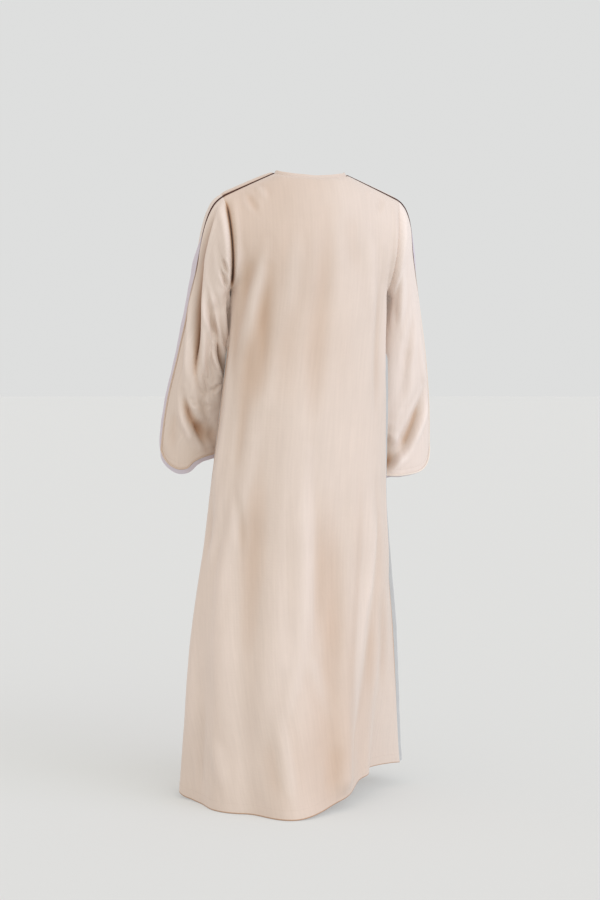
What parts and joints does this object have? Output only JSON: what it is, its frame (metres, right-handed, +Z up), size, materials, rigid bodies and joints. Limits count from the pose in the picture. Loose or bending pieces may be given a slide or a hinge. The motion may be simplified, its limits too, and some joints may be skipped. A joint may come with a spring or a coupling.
{
  "type": "abaya cloak",
  "caption": "Ankle-length open-front abaya cloak, standing hollow as worn, with wide sleeves, cord-edged overarm and side seams and a round neck.",
  "frame": {"origin": "between the wearer's shoulders at the base of the neck, where the worn cloak is held", "axes": "+Z up, the open front faces -Y, the wearer's left is +X"},
  "size_m": [0.694, 0.4743, 1.4691],
  "materials": {
    "cloth": "matte beige crepe",
    "edging": "smooth pale lilac-grey tape",
    "cord": "dark brown twisted cord"
  },
  "bodies": {
    "root": {"back": "cloth", "front_left": "cloth", "front_right": "cloth", "neck_binding": "cloth", "sleeve_left_back": "cloth", "sleeve_left_front": "cloth", "sleeve_right_back": "cloth", "sleeve_right_front": "cloth", "sleeve_edging_left": "edging", "sleeve_edging_right": "edging", "side_edging_left": "edging", "side_edging_right": "edging", "sleeve_cord_left": "cord", "sleeve_cord_right": "cord", "side_cord_left": "cord", "side_cord_right": "cord"}
  },
  "joints": []
}
